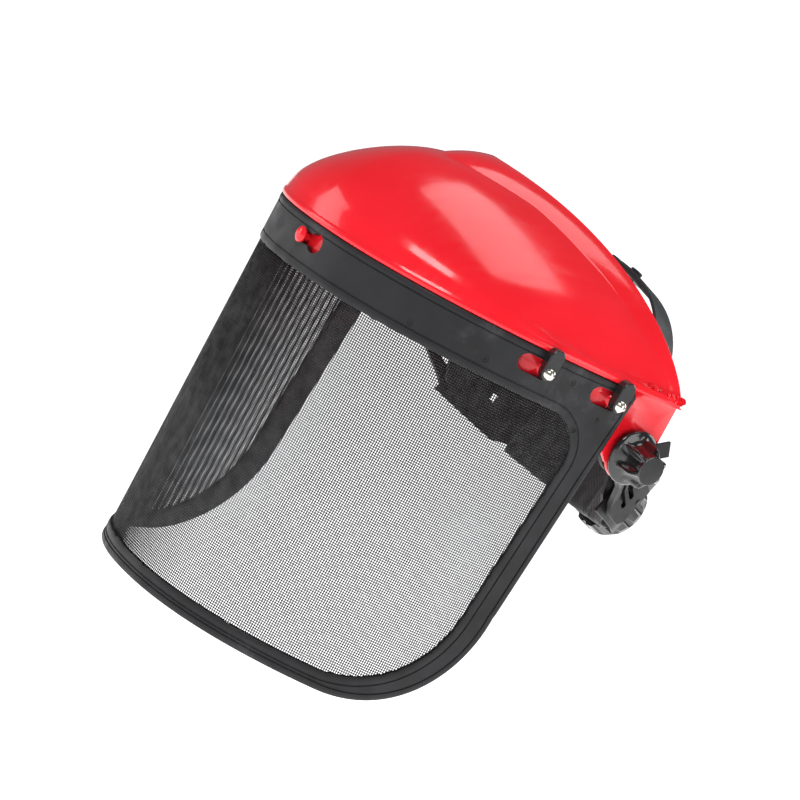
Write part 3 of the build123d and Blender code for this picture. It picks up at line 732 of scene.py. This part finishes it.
def make_knobs():
    """Bell-shaped hub with six slender ribs that melt into its flange, and a flat matt end."""
    steps = 168
    turns = np.linspace(0, 2 * math.pi, steps, endpoint=False)
    rib = (0.5 + 0.5 * np.cos(KNOB_RIBS * (turns - RIB_TURN))) ** 5
    for side, label in ((1, "left"), (-1, "right")):
        points = []
        for along, radius, stand in KNOB_PROFILE:
            r = radius + stand * rib
            points.append(np.stack([np.full(steps, side * (KNOB_X + along)),
                                    r * np.cos(turns), r * np.sin(turns)], -1))
        points = np.concatenate(points)
        faces = grid_faces(len(KNOB_PROFILE), steps, False, True)
        faces.append(tuple(range(steps)))
        top = (len(KNOB_PROFILE) - 1) * steps
        faces.append(tuple(range(top, top + steps)))
        piece = mesh_piece("knob_" + label, points, faces, "knob_" + label, KNOB_BLACK, 50)
        piece.data.materials.append(KNOB_END)
        for face in piece.data.polygons:
            if abs(face.center.x) > (KNOB_X + KNOB_PROFILE[-1][0] - 0.05) * MM:
                face.material_index = 1
        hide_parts("pivot_knob_" + label)


# ---------------------------------------------------------------- padded pieces
PAD_VOXEL = 2.0         # grid of the simulated pads
PAD_PRESSURE = 4.0
PAD_FRAMES = 20
PAD_RISE = 1.2          # the cover stands out by no more than this
PAD_MIDDLE = (0, -10, 0)        # the pads face this axis, inside the head ring


def swell(name, source):
    """Padded copy of a CAD node, its cover filled out by a short cloth simulation."""
    scene = bpy.context.scene
    cad = NODES[source]
    piece = bpy.data.objects.new(name, cad.data.copy())
    scene.collection.objects.link(piece)
    piece.matrix_world = cad.matrix_world.copy()
    grid = piece.modifiers.new("grid", "REMESH")
    grid.mode = "VOXEL"
    grid.voxel_size = PAD_VOXEL * MM
    apply_modifiers(piece)
    start = np.empty(len(piece.data.vertices) * 3)
    piece.data.vertices.foreach_get("co", start)
    start = start.reshape(-1, 3)
    cover = piece.modifiers.new("cover", "CLOTH")
    cover.settings.use_pressure = True
    cover.settings.uniform_pressure_force = PAD_PRESSURE
    cover.settings.effector_weights.gravity = 0.0
    cover.point_cache.frame_start = 1
    cover.point_cache.frame_end = PAD_FRAMES
    for moment in range(1, PAD_FRAMES + 1):
        scene.frame_set(moment)
    apply_modifiers(piece)
    scene.frame_set(1)
    moved = np.empty(start.size)
    piece.data.vertices.foreach_get("co", moved)
    shift = moved.reshape(-1, 3) - start
    length = np.maximum(np.linalg.norm(shift, axis=1, keepdims=True), 1e-9)
    shift = shift * np.minimum(1, PAD_RISE * MM / length)
    away = (start - np.array(PAD_MIDDLE) * MM) * np.array([1, 1, 0])
    away /= np.linalg.norm(away, axis=1, keepdims=True)
    outward = np.sum(shift * away, axis=1, keepdims=True)
    shift -= np.maximum(outward, 0) * away        # the backed side stays where it is
    piece.data.vertices.foreach_set("co", (start + shift).ravel())
    finer = piece.modifiers.new("finer", "SUBSURF")
    finer.levels = finer.render_levels = 1
    apply_modifiers(piece)
    finish_mesh(piece, 80)
    piece.data.materials.clear()
    piece.data.materials.append(TOWELLING)
    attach(piece, "head_harness")
    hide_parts(source)
    return piece


# ---------------------------------------------------------------- stage
# ---------------------------------------------------------------- stage
def make_camera():
    """Camera at the viewing angle: seen from the wearer's left front, a little above, rolled."""
    azimuth, elevation, roll = (math.radians(a) for a in (49.765, 7.844, 28.375))
    yaw, pitch = (math.radians(a) for a in (0.0208, 0.2852))
    target = Vector((0, -60, -28.5)) * MM
    back = Vector((math.sin(azimuth) * math.cos(elevation),
                   -math.cos(azimuth) * math.cos(elevation), math.sin(elevation)))
    right = Vector((math.cos(azimuth), math.sin(azimuth), 0))
    rows = Matrix((right, back.cross(right), back))
    rows = Matrix.Rotation(-roll, 3, "Z") @ Matrix.Rotation(pitch, 3, "X") \
        @ Matrix.Rotation(yaw, 3, "Y") @ rows
    data = bpy.data.cameras.new("camera")
    data.lens = 140.29
    data.sensor_width = 36
    camera = bpy.data.objects.new("camera", data)
    bpy.context.scene.collection.objects.link(camera)
    camera.matrix_world = Matrix.Translation(target + back * 1.6108) @ rows.transposed().to_4x4()
    bpy.context.scene.camera = camera
    return camera


def make_light(name, position, size, power, target=(0, -0.06, 0), color=(1, 1, 1)):
    data = bpy.data.lights.new(name, "AREA")
    data.shape = "RECTANGLE"
    data.size, data.size_y = size
    data.energy = power
    data.color = color
    light = bpy.data.objects.new(name, data)
    bpy.context.scene.collection.objects.link(light)
    light.location = position
    light.rotation_euler = (Vector(target) - Vector(position)).to_track_quat("-Z", "Y").to_euler()


def make_stage():
    """Plain pale floor, pale surroundings and soft studio lights."""
    half, level = 15.0, VISOR_LOW * MM - 0.16
    mesh = bpy.data.meshes.new("floor")
    mesh.from_pydata([(-half, -half, level), (half, -half, level), (half, half, level),
                      (-half, half, level)], [], [(0, 1, 2, 3)])
    floor = bpy.data.objects.new("floor", mesh)
    bpy.context.scene.collection.objects.link(floor)
    material, tree, shader, where = start_material("floor_white", (0.9, 0.9, 0.9), 0.7)
    tree.links.new(ramp(tree, noise(tree, where, 3.0), (0.89, 0.89, 0.89), (0.92, 0.92, 0.92)),
                   shader.inputs["Base Color"])
    shader.inputs["Emission Color"].default_value = (1, 1, 1, 1)
    shader.inputs["Emission Strength"].default_value = 1.0
    mesh.materials.append(material)
    world = bpy.data.worlds.new("world")
    bpy.context.scene.world = world
    world.use_nodes = True
    tree = world.node_tree
    seen = tree.nodes["Background"]
    seen.inputs["Color"].default_value = (1, 1, 1, 1)
    seen.inputs["Strength"].default_value = 1.05
    lit = tree.nodes.new("ShaderNodeBackground")
    lit.inputs["Color"].default_value = (0.93, 0.95, 1.0, 1)
    lit.inputs["Strength"].default_value = 0.2
    path = tree.nodes.new("ShaderNodeLightPath")
    blend = tree.nodes.new("ShaderNodeMixShader")
    tree.links.new(path.outputs["Is Camera Ray"], blend.inputs["Fac"])
    tree.links.new(lit.outputs["Background"], blend.inputs[1])
    tree.links.new(seen.outputs["Background"], blend.inputs[2])
    tree.links.new(blend.outputs["Shader"], tree.nodes["World Output"].inputs["Surface"])
    make_light("key", (0.9, -1.3, 1.5), (0.9, 0.5), 16)
    make_light("fill_left", (1.6, 0.5, 0.5), (0.7, 1.1), 7)
    make_light("fill_front", (-1.4, -1.5, 0.4), (0.8, 1.0), 7)
    make_light("top", (-0.1, 0.3, 1.8), (1.2, 0.8), 10)
    make_light("rear", (0.2, 1.7, 0.8), (1.4, 0.7), 8)
    bpy.context.scene.view_settings.view_transform = "Standard"


make_camera()
make_stage()
dress_cad_nodes()
make_visor_frame()
make_wires()
make_dome()
make_skirt()
make_knobs()
swell("padded_sweatband", "sweatband")
swell("padded_nape", "nape_pad")
